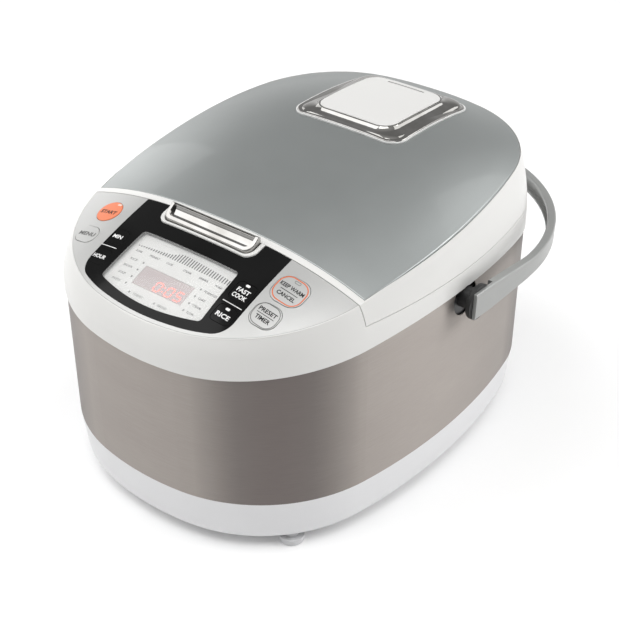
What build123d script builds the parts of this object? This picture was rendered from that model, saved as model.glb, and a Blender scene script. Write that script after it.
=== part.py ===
"""Multi-function rice cooker with a hinged lid, a carry handle and a sloping control panel.

Millimetres. X is the width, with the symmetry plane at X = 0. The control panel faces -Y.
Z = 0 is the surface the feet stand on, and Y = 0 is midway between the panel's front and the
folded handle's rear.
"""

from build123d import *
import math
import os

os.makedirs("parts", exist_ok=True)

# Plan outline at the widest level: eight tangent arcs about (0, BODY_Y).
HALF_WIDTH = 140.0
BODY_Y = -18.0
FRONT_REACH = 184.5
REAR_REACH = 170.6
FRONT_ARC = 215.5
REAR_ARC = 344.6
SIDE_ARC = 434.1
FRONT_CORNER = 115.2
REAR_CORNER = 95.6

# Levels above the standing surface.
BASE_BOTTOM = 5.0
BASE_LEAN = 4.6
BASE_ROUND = 12.0
BAND_BOTTOM = 42.4
COLLAR_EDGE = 158.0
COLLAR_EDGE_Y = -20.8
COLLAR_EDGE_RADIUS = 1205.0
SHOULDER_START = 152.0
SEAM = 171.9
SEAM_GAP = 0.4
DIVISION_Y = -110.8
WALL = 2.6
GAP = 0.3

# Shoulder planes, z = level + slope * y, and how far the wall leans in at that plane.
PANEL_LEVEL = 205.4
PANEL_SLOPE = 0.1813
PANEL_LEAN = 8.0
LID_LEVEL = 201.2
LID_SLOPE = 0.1141
LID_LEAN = 9.8
LEAN_POWER = 2.2

# Dome: z = rim level + DOME_RISE * (1 - |x/a|^n - |(y - cy)/b|^n).
RIM_Z = 198.6
RIM_SLOPE = 0.13
RIM_BEND = 1.93e-4
DOME_RISE = 20.0
DOME_POWER = 2.6
DOME_A = 131.0
DOME_B = 168.5
DOME_Y = -25.0

# Lid
COVER_INSET = 9.3
COVER_THICK = 2.4
BORDER = 5.0
LID_FLOOR = 173.4
HINGE_Y = 147.2
HINGE_Z = 180.0
HINGE_PIN = 2.5

# Steam vent, on its own tilted plane
VENT_Y = 75.8
VENT_Z = 221.0
VENT_TILT = -1.4
VENT_SIDE = 98.0
VENT_ROUND = 12.0
VENT_WELL = 86.0
CAP_WIDE = 69.0
CAP_LONG = 76.0
CAP_ROUND = 12.0
CAP_BACK = -1.5

# Pot and heating
POT_Y = 19.2
POT_RADIUS = 108.0
POT_WALL = 2.0
POT_BOTTOM = 52.0
POT_RIM = 170.5
RIM_RADIUS = 116.0
WELL_RADIUS = 111.0
DECK_TOP = 168.0
PLATE_RADIUS = 90.0

# Control panel plane
PANEL_TILT = 19.5
PANEL_Y = -150.8
PANEL_Z = 190.0
FASCIA_THICK = 2.3
INSERT_HALF = 66.0
KEY_TRAVEL = 0.8
KEY_PROUD = 0.4
BOARD_DEPTH = 19.0

# Carry handle
PIVOT_Y = -10.8
PIVOT_Z = 149.5
ARM_OUTER = 153.4
ARM_THICK = 6.5
HANDLE_DROOP = 2.1
HANDLE_TALL = 20.0
HANDLE_LOW = 14.0
HANDLE_STRAIGHT = 57.0
HANDLE_REACH = 213.0
PIN_RADIUS = 4.0
RUNNING = 0.05

# Underside and rear
FEET = [(-97.0, -151.0), (97.0, -151.0), (-84.0, 92.0), (84.0, 92.0)]
SCREWS = [(-71.0, -122.0), (71.0, -122.0), (-62.0, 84.0), (62.0, 84.0)]
LEGS = [(0.0, 69.2), (-43.3, -5.8), (43.3, -5.8)]
INLET_X = -62.0
INLET_Z = 24.0
CUP_TOP = 118.0


def save(shape, node):
    """Write one sub-part."""
    export_step(shape, f"parts/{node}.step")


def arc_centre(end, end_radius, side, side_radius, radius):
    """Centre of the corner arc that touches the end arc and the side arc from inside."""
    gap = math.hypot(side[0] - end[0], side[1] - end[1])
    near = end_radius - radius
    far = side_radius - radius
    along = (near**2 - far**2 + gap**2) / (2 * gap)
    off = math.sqrt(near**2 - along**2)
    ux = (side[0] - end[0]) / gap
    uy = (side[1] - end[1]) / gap
    options = [(end[0] + along * ux - s * off * uy, end[1] + along * uy + s * off * ux) for s in (1, -1)]
    return max(options)


def quarter(reach, end_radius, corner_radius, sign):
    """End, corner and side arcs of one right-hand quarter as (centre, radius, from, to)."""
    end = (0.0, BODY_Y + sign * (reach - end_radius))
    side = (HALF_WIDTH - SIDE_ARC, BODY_Y)
    corner = arc_centre(end, end_radius, side, SIDE_ARC, corner_radius)
    end_turn = math.atan2(corner[1] - end[1], corner[0] - end[0])
    side_turn = math.atan2(corner[1] - side[1], corner[0] - side[0])
    tip = sign * math.pi / 2
    return [(end, end_radius, tip, end_turn), (corner, corner_radius, end_turn, side_turn), (side, SIDE_ARC, side_turn, 0.0)]


def outline(inset, level, slope=0.0):
    """The plan outline, moved inward by `inset`, lying on the plane z = level + slope * y."""
    front = quarter(FRONT_REACH, FRONT_ARC, FRONT_CORNER, -1)
    rear = quarter(REAR_REACH, REAR_ARC, REAR_CORNER, 1)
    right = front + [(c, r, b, a) for c, r, a, b in reversed(rear)]

    def point(centre, radius, turn, mirror):
        x = centre[0] + (radius - inset) * math.cos(turn)
        y = centre[1] + (radius - inset) * math.sin(turn)
        return (mirror * x, y, level + slope * y)

    edges = []
    for centre, radius, start, stop in right:
        middle = (start + stop) / 2
        edges.append(ThreePointArc(*[point(centre, radius, t, 1) for t in (start, middle, stop)]))
    for centre, radius, start, stop in reversed(right):
        middle = (start + stop) / 2
        edges.append(ThreePointArc(*[point(centre, radius, t, -1) for t in (stop, middle, start)]))
    return Face(Wire(edges))


def slab(inset, low, high):
    """Straight prism on the plan outline."""
    return extrude(outline(inset, low), amount=high - low, dir=(0, 0, 1))


def upper_form(level, slope, lean, wall):
    """Solid under the shoulder: upright below, curving in to `lean` at the tilted plane."""
    sections = []
    for step in range(5):
        s = step / 4
        inset = lean * s**LEAN_POWER + wall
        base = SHOULDER_START + s * (level - SHOULDER_START)
        sections.append(outline(inset, base, s * slope))
    shoulder = loft(sections)
    below = slab(wall, 138.0, SHOULDER_START)
    above = extrude(sections[-1], amount=34.0, dir=(0, 0, 1))
    return below + shoulder + above


def dome_height(x, y):
    """Height of the domed top surface."""
    rim_y = y - COLLAR_EDGE_Y
    rim = RIM_Z + RIM_SLOPE * rim_y - RIM_BEND * rim_y**2
    bulge = 1 - abs(x / DOME_A) ** DOME_POWER - abs((y - DOME_Y) / DOME_B) ** DOME_POWER
    return rim + DOME_RISE * bulge


def dome_face():
    """The domed surface over the whole plan."""
    xs = [-150 + 15 * i for i in range(21)]
    ys = [-210 + 15 * j for j in range(26)]
    rows = [[Vector(x, y, dome_height(x, y)) for y in ys] for x in xs]
    return Face.make_surface_from_array_of_points(rows, tol=0.02, min_deg=3, max_deg=5)


DOME = dome_face()


def above_dome(shift):
    """Everything above the dome moved up by `shift`."""
    return extrude(DOME.moved(Location((0, 0, shift))), amount=120.0, dir=(0, 0, 1))


def below_dome(shift):
    """Everything below the dome moved up by `shift`."""
    return extrude(DOME.moved(Location((0, 0, shift))), amount=120.0, dir=(0, 0, -1))


def block(x0, x1, y0, y1, z0, z1):
    """Box between two corners."""
    return Pos((x0 + x1) / 2, (y0 + y1) / 2, (z0 + z1) / 2) * Box(abs(x1 - x0), y1 - y0, z1 - z0)


def tube(radius, x, y, z0, z1):
    """Upright cylinder."""
    return Pos(x, y, (z0 + z1) / 2) * Cylinder(radius, z1 - z0)


def across(radius, x0, x1, y, z):
    """Cylinder along X."""
    return Pos((x0 + x1) / 2, y, z) * Rot(0, 90, 0) * Cylinder(radius, abs(x1 - x0))


ARCH = across(COLLAR_EDGE_RADIUS, -200, 200, COLLAR_EDGE_Y, COLLAR_EDGE - COLLAR_EDGE_RADIUS)
FRONT_HALF = block(-200, 200, -260, DIVISION_Y - GAP, 100, 300)
REAR_HALF = block(-200, 200, DIVISION_Y + GAP, 260, 100, 300)


# ---------------------------------------------------------------- outer shells


def make_base_shell():
    """White lower shell with a rounded underside, floor, vent slots and inlet opening."""
    outer = loft([outline(BASE_LEAN, BASE_BOTTOM), outline(1.1, BAND_BOTTOM)], ruled=True)
    outer = fillet(outer.edges().group_by(Axis.Z)[0], BASE_ROUND)
    inner = loft([outline(BASE_LEAN + WALL, BASE_BOTTOM + 3), outline(1.1 + WALL, BAND_BOTTOM)], ruled=True)
    inner = fillet(inner.edges().group_by(Axis.Z)[0], BASE_ROUND - WALL)
    lip = slab(1.1 + 1.3, BAND_BOTTOM - 4, BAND_BOTTOM + 6) - slab(1.1 + 1.3 + 1.6, BAND_BOTTOM - 5, BAND_BOTTOM + 7)
    shell = outer - inner + lip
    for row in range(7):
        shell -= block(-36, 36, -30 + 14 * row, -24 + 14 * row, 0, 10)
    for x, y in FEET:
        shell -= tube(5.0, x, y, 0, 10)
    shell -= block(INLET_X - 14, INLET_X + 14, 130, 160, 14, 34)
    for x, y in LEGS:
        shell += tube(4.0, x, y, BASE_BOTTOM + 1, 42)
    for x, y in SCREWS:
        shell += tube(5.0, x, y, BASE_BOTTOM + 2, 22) - block(-200, 200, -200, 200, 0, BASE_BOTTOM)
        shell -= tube(4.2, x, y, 0, 9)
        shell -= tube(1.7, x, y, 0, 30)
    return shell


def make_steel_band():
    """Brushed steel wrap between the base shell and the collar."""
    band = slab(1.0, BAND_BOTTOM, 170) - slab(1.8, BAND_BOTTOM - 1, 171)
    band = band & ARCH
    for side in (-1, 1):
        band -= across(14.0, side * 130, side * 150, PIVOT_Y, PIVOT_Z)
    band -= block(-22, 22, 140, 160, CUP_TOP - 14, CUP_TOP - 8)
    return band


def make_band_liner():
    """Moulded frame behind the steel band; it carries the collar, the pivots and the well."""
    ring = slab(2.7, BAND_BOTTOM + 6.4, 152) - slab(5.1, BAND_BOTTOM + 5, 153)
    for side in (-1, 1):
        pad = block(side * 134 - 4, side * 134 + 4, PIVOT_Y - 17, PIVOT_Y + 17, 131, 152)
        ring += pad & slab(2.7, 130, 153)
        ring -= across(8.0, side * 128, side * 150, PIVOT_Y, PIVOT_Z)
    ring -= block(-22, 22, 140, 160, CUP_TOP - 14, CUP_TOP - 8)
    return ring


def make_collar(panel_form, lid_form):
    """White upper housing: rear collar and deck, front panel housing and the hinge knuckles."""
    rear = lid_form & REAR_HALF & block(-200, 200, -260, 260, 100, SEAM - SEAM_GAP)
    rear_inner = upper_form(LID_LEVEL, LID_SLOPE, LID_LEAN, WALL)
    rear_inner = rear_inner & block(-200, 200, -260, 260, 100, DECK_TOP - 3)
    well = tube(RIM_RADIUS + 2.6, 0, POT_Y, DECK_TOP, 300) + tube(WELL_RADIUS + 0.6, 0, POT_Y, 100, 300)
    front = panel_form & block(-200, 200, -260, DIVISION_Y + GAP, 100, 300) & below_dome(0)
    pocket = slab(PANEL_LEAN + 0.6, 150, 260) & FRONT_HALF & above_dome(-FASCIA_THICK)
    front_inner = upper_form(PANEL_LEVEL, PANEL_SLOPE, PANEL_LEAN, WALL)
    front_inner = front_inner & block(-200, 200, -260, DIVISION_Y - GAP - 2.4, 100, 300)
    rear_inner = rear_inner & block(-200, 200, DIVISION_Y + 2.1, 260, 100, 300)
    trim = block(-200, 200, DIVISION_Y - GAP, DIVISION_Y + 3, SEAM - SEAM_GAP, 300)
    shell = (rear + (front - trim)) - front_inner - rear_inner - well - pocket
    shell = shell - (ARCH + block(-200, 200, -260, 260, 100, 139))
    shell -= block(-43.5, 43.5, DIVISION_Y - 30, DIVISION_Y + 1, 182, 300)
    shell -= block(-11, 11, DIVISION_Y - 4, DIVISION_Y + 5, 160, 181)
    for side in (-1, 1):
        shell -= across(9.0, side * 130, side * 150, PIVOT_Y, PIVOT_Z)
        post = block(side * 22, side * 46, HINGE_Y - 6, HINGE_Y + 3.6, DECK_TOP - 3, HINGE_Z)
        shell += post + across(6.0, side * 22, side * 46, HINGE_Y, HINGE_Z)
        shell -= across(HINGE_PIN, side * 21, side * 47, HINGE_Y, HINGE_Z)
    return shell


def make_fascia(insert):
    """Silver panel face with the keys' openings and the recess of the dark insert."""
    plate = slab(PANEL_LEAN + 0.8, 150, 250) & FRONT_HALF & below_dome(0) & above_dome(-FASCIA_THICK)
    return plate - insert


def insert_region(grow):
    """Vertical prism of the dark insert, `grow` larger all round."""
    half = INSERT_HALF + grow
    front = extrude(outline(PANEL_LEAN + 3.2 - grow, 150), amount=100, dir=(0, 0, 1))
    front = front & block(-half, half, -200, DIVISION_Y - GAP + 1, 150, 250)
    corners = [e for e in front.edges().filter_by(Axis.Z) if abs(e.center().X) > half - 1 and e.center().Y < -150]
    return fillet(corners, 15)


def latch_region(grow):
    """Prism of the latch bezel, `grow` larger all round."""
    shape = block(-43.5 - grow, 43.5 + grow, DIVISION_Y - 15.8 - grow, DIVISION_Y + 2, 150, 250)
    corners = shape.edges().filter_by(Axis.Z).group_by(Axis.Y)[0]
    return fillet(corners, 8 + grow)


PANEL = Plane(origin=(0, PANEL_Y, PANEL_Z), x_dir=(1, 0, 0),
              z_dir=(0, -math.sin(math.radians(PANEL_TILT)), math.cos(math.radians(PANEL_TILT))))


def on_panel(sketch, low, high):
    """Prism square to the panel plane, between two heights above it."""
    return extrude(PANEL.offset(low) * sketch, amount=high - low)


def panel_spot(x, y):
    """Local coordinates on the panel plane of the dome point above (x, y)."""
    tilt = math.radians(PANEL_TILT)
    z = dome_height(x, y)
    v = (y - PANEL_Y) * math.cos(tilt) + (z - PANEL_Z) * math.sin(tilt)
    height = -(y - PANEL_Y) * math.sin(tilt) + (z - PANEL_Z) * math.cos(tilt)
    return x, v, height


# name: (x, y, width, depth, corner radius) of each key, in plan
KEYS = {
    "key_start": (-86.5, -130.0, 20.0, 20.0, 9.9),
    "key_menu": (-86.0, -153.0, 19.0, 15.0, 6.5),
    "key_minute": (-58.5, -148.8, 14.0, 13.0, 3.0),
    "key_hour": (-58.5, -166.6, 14.0, 13.0, 3.0),
    "key_quick": (56.0, -148.6, 15.0, 15.0, 3.0),
    "key_rice": (56.0, -167.4, 15.0, 13.5, 3.0),
    "key_cancel": (81.4, -131.4, 24.0, 22.5, 8.6),
    "key_timer": (79.8, -154.2, 20.0, 18.5, 7.4),
}
OVERLAY = ("key_minute", "key_hour", "key_quick", "key_rice")


def key_sketch(name, grow=0.0):
    """Rounded outline of a key on the panel plane."""
    x, y, width, depth, radius = KEYS[name]
    u, v, height = panel_spot(x, y)
    shape = RectangleRounded(width + 2 * grow, depth + 2 * grow, radius + grow)
    return Pos(u, v) * shape


def make_key(name):
    """Key cap with a retaining flange and a stem down to its switch."""
    x, y, width, depth, radius = KEYS[name]
    u, v, height = panel_spot(x, y)
    cap = on_panel(key_sketch(name), height - 14, height + 14)
    flush = name in OVERLAY
    cap = cap & below_dome(0.1 if flush else KEY_PROUD) & above_dome(-FASCIA_THICK - 2.6)
    cap = fillet(cap.faces().sort_by(Axis.Z)[-1].edges(), 0.15 if flush else 0.45)
    stem_low = -BOARD_DEPTH + 4.0
    stem = on_panel(Pos(u, v) * Circle(2.6), stem_low, height - FASCIA_THICK - 0.5)
    return cap + stem


def key_holes(clearance):
    """All the keys' openings through the panel."""
    holes = [on_panel(key_sketch(name, clearance), -30, 40) for name in KEYS]
    return Compound(holes)


# ---------------------------------------------------------------- control panel


def make_insert(window, bezel, holes):
    """Gloss dark panel insert with openings for the window, the latch bezel and its keys."""
    plate = insert_region(-0.15) & FRONT_HALF & below_dome(0.1) & above_dome(-FASCIA_THICK)
    return plate - window - bezel - holes


def window_region(grow):
    """Prism of the display window: straight rear edge, bowed front edge."""
    low, high = -182.5 - grow, -137.6 + grow
    half = 45.5 + grow
    line = Polyline((half, low + 4), (half - 2, high), (-half + 2, high), (-half, low + 4))
    bow = ThreePointArc((-half, low + 4), (0, low - 3), (half, low + 4))
    shape = extrude(Face(Wire(line.edges() + bow.edges())).moved(Location((0, 0, 150))), amount=100, dir=(0, 0, 1))
    return fillet(shape.edges().filter_by(Axis.Z), 3.0 + grow)


def make_display_tray():
    """White card tray behind the window that carries the printed scale and the digits."""
    tray = window_region(2.0) & below_dome(-FASCIA_THICK - 0.8) & above_dome(-FASCIA_THICK - 2.6)
    digits = block(-22, 23, -173.5, -158.5, 150, 250)
    return tray - digits


def make_digit_module():
    """Light-emitting digit block set into the tray."""
    return block(-21.8, 22.8, -173.3, -158.7, 150, 250) & below_dome(-FASCIA_THICK - 0.9) & above_dome(-9.0)


def make_board():
    """Control board, parallel to the panel plane, with a notch round the latch."""
    plate = on_panel(Rectangle(178, 72), -BOARD_DEPTH - 1.6, -BOARD_DEPTH)
    plate = plate & slab(7.0, 130, 260) & block(-200, 200, -260, DIVISION_Y - 5, 100, 300)
    plate -= block(-46, 46, DIVISION_Y - 24, DIVISION_Y, 100, 300)
    for x, v in BOARD_POSTS:
        plate -= on_panel(Pos(x, v) * Circle(1.7), -BOARD_DEPTH - 5, -BOARD_DEPTH + 5)
    return plate


BOARD_POSTS = [(-68.9, 7.4), (68.9, 7.4), (-68.9, -24), (68.9, -24)]


def make_board_posts():
    """Posts moulded under the panel face that hold the control board."""
    posts = []
    for x, v in BOARD_POSTS:
        y = PANEL_Y + v * math.cos(math.radians(PANEL_TILT))
        height = panel_spot(x, y)[2]
        post = Pos(x, v) * Circle(2.4)
        hole = Pos(x, v) * Circle(1.2)
        posts.append(on_panel(post, -BOARD_DEPTH, height) - on_panel(hole, -BOARD_DEPTH - 1, height - 5))
    return [post & below_dome(-FASCIA_THICK) for post in posts]


def make_board_screws():
    """Four screws under the control board."""
    screws = []
    for x, v in BOARD_POSTS:
        shank = on_panel(Pos(x, v) * Circle(1.15), -BOARD_DEPTH - 1.6, -BOARD_DEPTH + 6)
        head = on_panel(Pos(x, v) * Circle(2.8), -BOARD_DEPTH - 3.4, -BOARD_DEPTH - 1.6)
        screws.append(head + shank)
    return Compound(screws)


def make_switches():
    """One tactile switch under each key."""
    switches = []
    for name in KEYS:
        x, y = KEYS[name][:2]
        u, v, height = panel_spot(x, y)
        can = on_panel(Pos(u, v) * Rectangle(6, 6), -BOARD_DEPTH, -BOARD_DEPTH + 2.4)
        plunger = on_panel(Pos(u, v) * Circle(1.6), -BOARD_DEPTH + 2.4, -BOARD_DEPTH + 3.1)
        switches.append(can + plunger)
    return Compound(switches)


# ---------------------------------------------------------------- latch


BUTTON_HALF = 39.6
BUTTON_FRONT = DIVISION_Y - 13.2
BUTTON_REAR = DIVISION_Y - 0.8


def make_latch_bezel():
    """White frame round the latch button, notched below for the button's presser."""
    frame = latch_region(-0.2) & FRONT_HALF & below_dome(1.2) & above_dome(-9.0)
    pocket = block(-BUTTON_HALF - 0.5, BUTTON_HALF + 0.5, BUTTON_FRONT - 0.5, DIVISION_Y + 5, 150, 250)
    frame -= fillet(pocket.edges().filter_by(Axis.Z).group_by(Axis.Y)[0], 6.5)
    frame = fillet(frame.faces().sort_by(Axis.Z)[-1].edges(), 0.8)
    level = dome_height(0, DIVISION_Y)
    return frame - block(-6.5, 6.5, DIVISION_Y - 20, DIVISION_Y - 9, 150, level - 7.3)


def button_profile(points, arc, half):
    """Prism along X from a side view made of straight runs and one arc."""
    side = Plane(origin=(0, 0, 0), x_dir=(0, 1, 0), z_dir=(1, 0, 0))
    edges = Polyline(*points).edges() + ThreePointArc(*arc).edges()
    return extrude(side * Face(Wire(edges)), amount=half, both=True)


def make_latch_button():
    """Chromed push button: a rounded rim round a scooped hollow, two legs and the hook's presser."""
    z = dome_height(0, DIVISION_Y)
    front, rear = BUTTON_FRONT, BUTTON_REAR
    crest = z + 4.9
    lip = z - 1.7
    form = [(front, lip), (front, z - 8), (rear, z - 8), (rear, crest - 1.0), (rear - 1.8, crest)]
    body = button_profile(form, ((rear - 1.8, crest), (front + 6, z + 1.6), (front, lip)), BUTTON_HALF)
    plan = block(-BUTTON_HALF, BUTTON_HALF, front, rear, z - 9, z + 9)
    body &= fillet(plan.edges().filter_by(Axis.Z).group_by(Axis.Y)[0], 6.0)
    top = [e for e in body.edges() if e.center().Z > lip - 0.2 and abs(e.center().Y - rear) > 0.4]
    body = fillet(top, 0.7)
    near, far = front + 2.2, rear - 2.0
    hollow = [(near, z - 2.3), (near, z + 9), (far, z + 9), (far, crest - 1.0)]
    scoop = button_profile(hollow, ((far, crest - 1.0), (near + 4.6, z - 1.3), (near, z - 2.3)), BUTTON_HALF)
    well = block(-BUTTON_HALF + 2.6, BUTTON_HALF - 2.6, near, far, z - 9, z + 9)
    body -= scoop & fillet(well.edges().filter_by(Axis.Z).group_by(Axis.Y)[0], 4.4)
    for side_x in (-1, 1):
        body += block(side_x * 26 - 2, side_x * 26 + 2, DIVISION_Y - 12.1, DIVISION_Y - 6.1, z - 22, z - 7.9)
    body += block(-5, 5, DIVISION_Y - 14.7, DIVISION_Y - 10, z - 10.2, z - 7.9)
    body += block(-5, 5, DIVISION_Y - 14.7, DIVISION_Y - 12.9, LATCH_PIVOT_Z + 2.0, z - 7.9)
    return body


LATCH_PIVOT_Y = DIVISION_Y - 6.8
LATCH_PIVOT_Z = 162.0


def make_latch_hook():
    """Bell-crank hook: the button presses its arm, and the nose swings clear of the lid's catch."""
    hub = across(4.0, -9, 9, LATCH_PIVOT_Y, LATCH_PIVOT_Z)
    for side in (-1, 1):
        hub += block(side * 7.75 - 1.25, side * 7.75 + 1.25, LATCH_PIVOT_Y - 1, LATCH_PIVOT_Y + 3, LATCH_PIVOT_Z, LATCH_PIVOT_Z + 15)
    nose = block(-9, 9, LATCH_PIVOT_Y + 1, DIVISION_Y - 0.2, LATCH_PIVOT_Z + 11.5, LATCH_PIVOT_Z + 14.5)
    arm = block(-5, 5, LATCH_PIVOT_Y - 10, LATCH_PIVOT_Y, LATCH_PIVOT_Z - 1.5, LATCH_PIVOT_Z + 1.5)
    return hub + nose + arm - across(2.0 + RUNNING, -12, 12, LATCH_PIVOT_Y, LATCH_PIVOT_Z)


def make_latch_frame():
    """Guide frame that carries the hook's pin and the button's legs."""
    frame = block(-40, 40, DIVISION_Y - 16, DIVISION_Y - 2.7, 153, 156)
    for side in (-1, 1):
        frame += block(side * 12 - 1.5, side * 12 + 1.5, DIVISION_Y - 14, DIVISION_Y - 2.9, 153, 168)
    frame -= across(2.0, -20, 20, LATCH_PIVOT_Y, LATCH_PIVOT_Z)
    return frame


def make_coil(radius, wire, height, turns, x, y, z):
    """Upright compression spring with its lower end at z."""
    path = Helix(pitch=(height - 2 * wire) / turns, height=height - 2 * wire, radius=radius)
    section = Plane(origin=path @ 0, z_dir=path % 0) * Circle(wire)
    return Pos(x, y, z + wire) * sweep(section, path=path)


# ---------------------------------------------------------------- lid


def make_lid_ring(lid_form):
    """White lid wall, its front border and its floor flange."""
    outer = lid_form & REAR_HALF & block(-200, 200, -260, 260, SEAM, 300) & below_dome(0)
    inner = upper_form(LID_LEVEL, LID_SLOPE, LID_LEAN, WALL)
    inner = inner & block(-200, 200, DIVISION_Y + GAP + BORDER, 260, 100, 300) & below_dome(0)
    hollow = upper_form(LID_LEVEL, LID_SLOPE, LID_LEAN, WALL)
    hollow = hollow & block(-200, 200, DIVISION_Y + GAP + 2.4, 260, 100, 300) & below_dome(-COVER_THICK - 2.0)
    seat = slab(COVER_INSET - 0.3, 150, 260) & above_dome(-COVER_THICK)
    seat = seat & block(-200, 200, DIVISION_Y + GAP + BORDER - 0.3, 260, 100, 300)
    ring = outer - hollow - seat
    centre = slab(COVER_INSET + 3.0, 150, 260) & block(-200, 200, DIVISION_Y + GAP + BORDER + 3, 260, 100, 300)
    ring = ring - centre
    ring -= block(-48, 48, 132, 170, SEAM - 5, HINGE_Z + 9)
    return ring


def make_lid_cover():
    """Silver domed cover with the vent's socket opening."""
    cover = slab(COVER_INSET, 150, 260) & below_dome(0) & above_dome(-COVER_THICK)
    cover = cover & block(-200, 200, DIVISION_Y + GAP + BORDER, 260, 100, 300)
    cover = fillet(cover.faces().sort_by(SortBy.AREA)[-1].outer_wire().edges(), 0.9)
    return cover - VENT * vent_block(VENT_WELL - 10, -30, 30, 8)


VENT = Pos(0, VENT_Y, VENT_Z) * Rot(VENT_TILT, 0, 0)


def vent_block(side, low, high, radius):
    """Rounded square prism on the vent's axis."""
    return Pos(0, 0, low) * extrude(RectangleRounded(side, side, radius), amount=high - low)


def make_lid_floor():
    """Moulded underside of the lid: outer flange, raised centre and the hinge arm."""
    region = block(-200, 200, DIVISION_Y + 4.4, 260, 100, 300)
    flange = slab(WALL + 2.9, SEAM + 0.3, LID_FLOOR + 1.4) & region
    flange -= tube(RIM_RADIUS + 4.0, 0, POT_Y, 150, 200)
    wall = tube(RIM_RADIUS + 6.4, 0, POT_Y, SEAM + 0.3, 181) - tube(RIM_RADIUS + 4.0, 0, POT_Y, 150, 200)
    top = tube(RIM_RADIUS + 6.4, 0, POT_Y, 178.6, 181)
    floor = flange + (wall & slab(WALL + 2.9, 150, 200) & region) + (top & slab(WALL + 2.9, 150, 200) & region)
    floor -= tube(16.3, 0, VENT_Y, 150, 200)
    notch = block(-48, 48, 139.0, 170, 150, 200)
    arm = block(-21.6, 21.6, 139.0, HINGE_Y, HINGE_Z - 5, HINGE_Z + 6)
    arm += across(6.0, -21.6, 21.6, HINGE_Y, HINGE_Z)
    arm += block(-21.6, 21.6, 122, HINGE_Y, 178.6, HINGE_Z + 6)
    floor = floor - notch + arm
    return floor - across(HINGE_PIN + RUNNING, -30, 30, HINGE_Y, HINGE_Z)


def make_vent_socket():
    """Well in the lid that the steam vent drops into, with a spout to the inner plate."""
    outer = VENT * vent_block(VENT_WELL - 11, -22, -COVER_THICK - 0.4, 7.5)
    outer += VENT * (vent_block(VENT_WELL + 2, -COVER_THICK - 2.2, -COVER_THICK - 0.4, 10))
    outer = outer & below_dome(-COVER_THICK - 0.1)
    inner = VENT * vent_block(VENT_WELL - 15, -20, 30, 6)
    spout = tube(16.0, 0, VENT_Y, 178, 205) & (VENT * vent_block(60, -60, -21, 6))
    return outer - inner + spout - tube(13.0, 0, VENT_Y, 150, 215)


# ---------------------------------------------------------------- steam vent


def cap_block(grow, low, high, radius):
    """Rounded rectangular prism of the vent's cap, `grow` larger all round."""
    shape = RectangleRounded(CAP_WIDE + 2 * grow, CAP_LONG + 2 * grow, radius)
    return Pos(0, CAP_BACK, low) * extrude(shape, amount=high - low)


def make_vent_surround():
    """Chromed surround: a rim laid on the dome, hollowed flanks and an open middle."""
    rim = VENT * vent_block(VENT_SIDE, -8, 20, VENT_ROUND) & below_dome(1.8)
    rim = fillet(rim.faces().sort_by(Axis.Z)[-1].outer_wire().edges(), 0.8)
    sections = []
    for z, part, radius in ((-3.0, 0.08, 12.0), (2.4, 0.22, 12.0), (4.1, 0.60, 12.3), (6.6, 1.0, 13.2)):
        wide = VENT_SIDE + (CAP_WIDE + 2.4 - VENT_SIDE) * part
        long = VENT_SIDE + (CAP_LONG + 2.4 - VENT_SIDE) * part
        sections.append(Pos(0, CAP_BACK * part, z) * RectangleRounded(wide, long, radius))
    body = rim + VENT * loft(sections)
    body -= VENT * (cap_block(-2.0, -9, 12, 9) + vent_block(VENT_WELL - 16, -9, 4.4, 5.5))
    return body - below_dome(0.1)


def make_vent_cap():
    """White crowned cap plate with a steam slot along its rear edge."""
    crown = Pos(0, CAP_BACK, 8.7 - 700) * Sphere(700)
    plate = cap_block(0, 6.8, 12, CAP_ROUND) & crown
    plate = fillet(plate.faces().sort_by(Axis.Z)[-1].edges(), 0.6)
    plug = cap_block(-2.3, 4.8, 6.8, 8.7)
    slot = Pos(0, CAP_BACK + CAP_LONG / 2 - 5.0, 8) * Box(34, 2.0, 12)
    return VENT * (plate + plug - slot)


def make_vent_body():
    """Steam chamber under the cap, with baffle walls and the outlet spout."""
    box = vent_block(VENT_WELL - 16.4, -18, 4.2, 5.3) - vent_block(VENT_WELL - 20.4, -16, 5, 3.5)
    spout = Pos(0, 0, -24) * (Cylinder(10.5, 14) - Cylinder(8.5, 16))
    baffles = Compound([Pos(x, 0, -9.0) * Box(1.6, 40, 14) for x in (-18, 18)])
    body = box + spout + baffles
    return VENT * (body - Pos(0, 0, -20) * Cylinder(8.5, 12))


def make_vent_gasket():
    """Thin white seal round the surround's foot."""
    ring = vent_block(VENT_SIDE + 2.2, -8, 8, VENT_ROUND + 1.1)
    ring -= vent_block(VENT_SIDE + 0.2, -9, 9, VENT_ROUND + 0.1)
    return VENT * ring & above_dome(0.1) & below_dome(1.2)


def make_steam_seal():
    """Silicone collar between the inner plate and the vent's spout."""
    return tube(15.4, 0, VENT_Y, 176.0, 178.0) - tube(7.5, 0, VENT_Y, 170, 190)


def make_inner_plate():
    """Removable aluminium steam plate under the lid."""
    plate = tube(RIM_RADIUS - 3, 0, POT_Y, 174.8, 176.0)
    dish = tube(84, 0, POT_Y, 173.2, 176.0) - tube(82.8, 0, POT_Y, 174.4, 177)
    plate = plate - tube(84, 0, POT_Y, 170, 180) + dish
    plate -= tube(7.0, 0, VENT_Y, 170, 180) + tube(4.0, 0, POT_Y, 170, 180)
    for turn in range(0, 360, 45):
        x = 18 * math.cos(math.radians(turn))
        y = 18 * math.sin(math.radians(turn))
        plate -= tube(2.0, x, POT_Y + y, 170, 180)
    return plate


def make_plate_knob():
    """Moulded centre clip that holds the inner plate to the lid floor."""
    return tube(9.0, 0, POT_Y, 171.0, 173.2) + tube(4.0, 0, POT_Y, 173.2, 178.6)


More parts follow.
